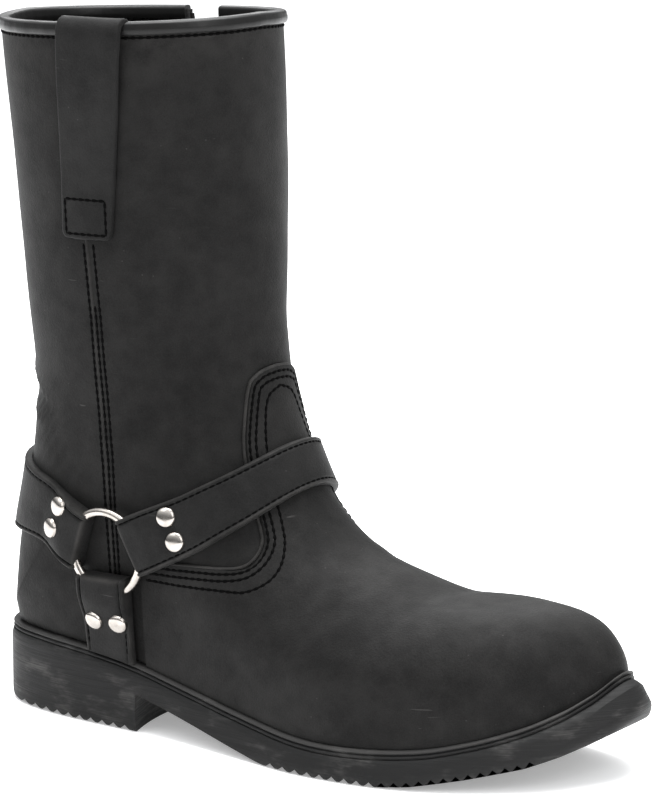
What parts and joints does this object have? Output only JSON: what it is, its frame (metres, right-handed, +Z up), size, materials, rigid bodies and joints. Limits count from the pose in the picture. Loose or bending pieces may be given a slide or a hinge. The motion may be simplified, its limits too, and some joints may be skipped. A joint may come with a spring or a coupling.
{
  "type": "motorcycle boot",
  "caption": "Right motorcycle boot in black leather with a round toe, a strap harness on rings, a pull strap, a side zip and a heeled rubber sole.",
  "frame": {"origin": "on the floor under the middle of the heel", "axes": "+X to the toe, +Y to the wearer's left (the inner side with the zip), +Z up"},
  "size_m": [0.3138, 0.1148, 0.3154],
  "materials": {
    "leather": "matt oiled black leather with a soft, slightly lighter mottle",
    "binding_leather": "smoother, slightly glossy black leather",
    "lining": "dark textile lining",
    "rubber": "matt black moulded rubber",
    "nickel": "polished nickel",
    "zip_tape": "black zip chain and tape"
  },
  "bodies": {
    "boot": {"outsole": "rubber", "insole": "lining", "upper": "leather", "vamp": "leather", "collar_binding": "binding_leather", "pull_strap": "leather", "strap_instep": "leather", "strap_heel": "leather", "strap_stay_lateral": "leather", "strap_stay_medial": "leather", "ring_lateral": "nickel", "ring_medial": "nickel", "zip_chain": "zip_tape", "zip_slider": "nickel", "rivet_lateral_front_upper": "nickel", "rivet_lateral_front_lower": "nickel", "rivet_lateral_rear_upper": "nickel", "rivet_lateral_rear_lower": "nickel", "rivet_lateral_stay_rear": "nickel", "rivet_lateral_stay_front": "nickel", "rivet_medial_front_upper": "nickel", "rivet_medial_front_lower": "nickel", "rivet_medial_rear_upper": "nickel", "rivet_medial_rear_lower": "nickel", "rivet_medial_stay_rear": "nickel", "rivet_medial_stay_front": "nickel"},
    "zip_pull": {"zip_pull": "nickel"}
  },
  "joints": [
    {"name": "zip_pull_hinge", "type": "hinge", "parent": "boot", "child": "zip_pull", "pos_m": [0.03, 0.05543, 0.2911], "axis": [1, 0, 0], "range_deg": [0, 150]}
  ]
}
